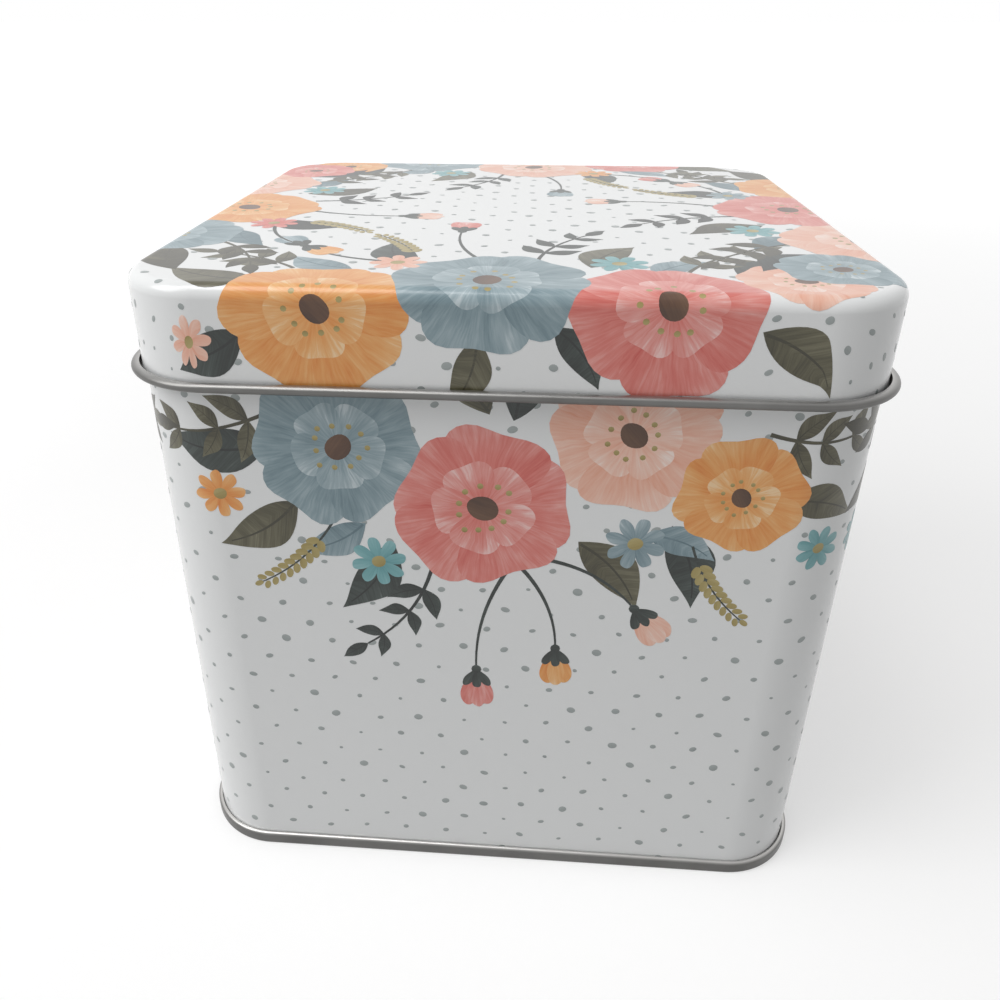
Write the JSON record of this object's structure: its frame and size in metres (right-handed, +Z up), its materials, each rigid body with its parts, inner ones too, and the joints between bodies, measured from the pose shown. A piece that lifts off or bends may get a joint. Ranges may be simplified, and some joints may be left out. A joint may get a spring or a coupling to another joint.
{
  "type": "tin box",
  "caption": "Nearly cubic printed tin box with rounded upright corners, a slip-on lid that lifts straight off, a rolled lid edge and a double-seamed base.",
  "frame": {"origin": "on the surface that the tin stands on, under the middle of the tin", "axes": "+Z up, out of the tin's mouth; the front face looks along -Y; +X to the right of the front; the side seam is at the back, +Y"},
  "size_m": [0.135, 0.135, 0.127],
  "materials": {
    "lid_enamel": "glossy white enamel with a printed flower pattern, bare metal at the rolled edge",
    "wall_enamel": "glossy white enamel with a printed flower pattern, clear lacquered metal inside",
    "bare_tinplate": "satin grey bare tinplate"
  },
  "bodies": {
    "tin_body": {"body_wall": "wall_enamel", "base_panel": "bare_tinplate"},
    "tin_lid": {"lid": "lid_enamel"}
  },
  "joints": [
    {"name": "lid_lift", "type": "slide", "parent": "tin_body", "child": "tin_lid", "axis": [0, 0, 1], "range_m": [0, 0.1]}
  ]
}
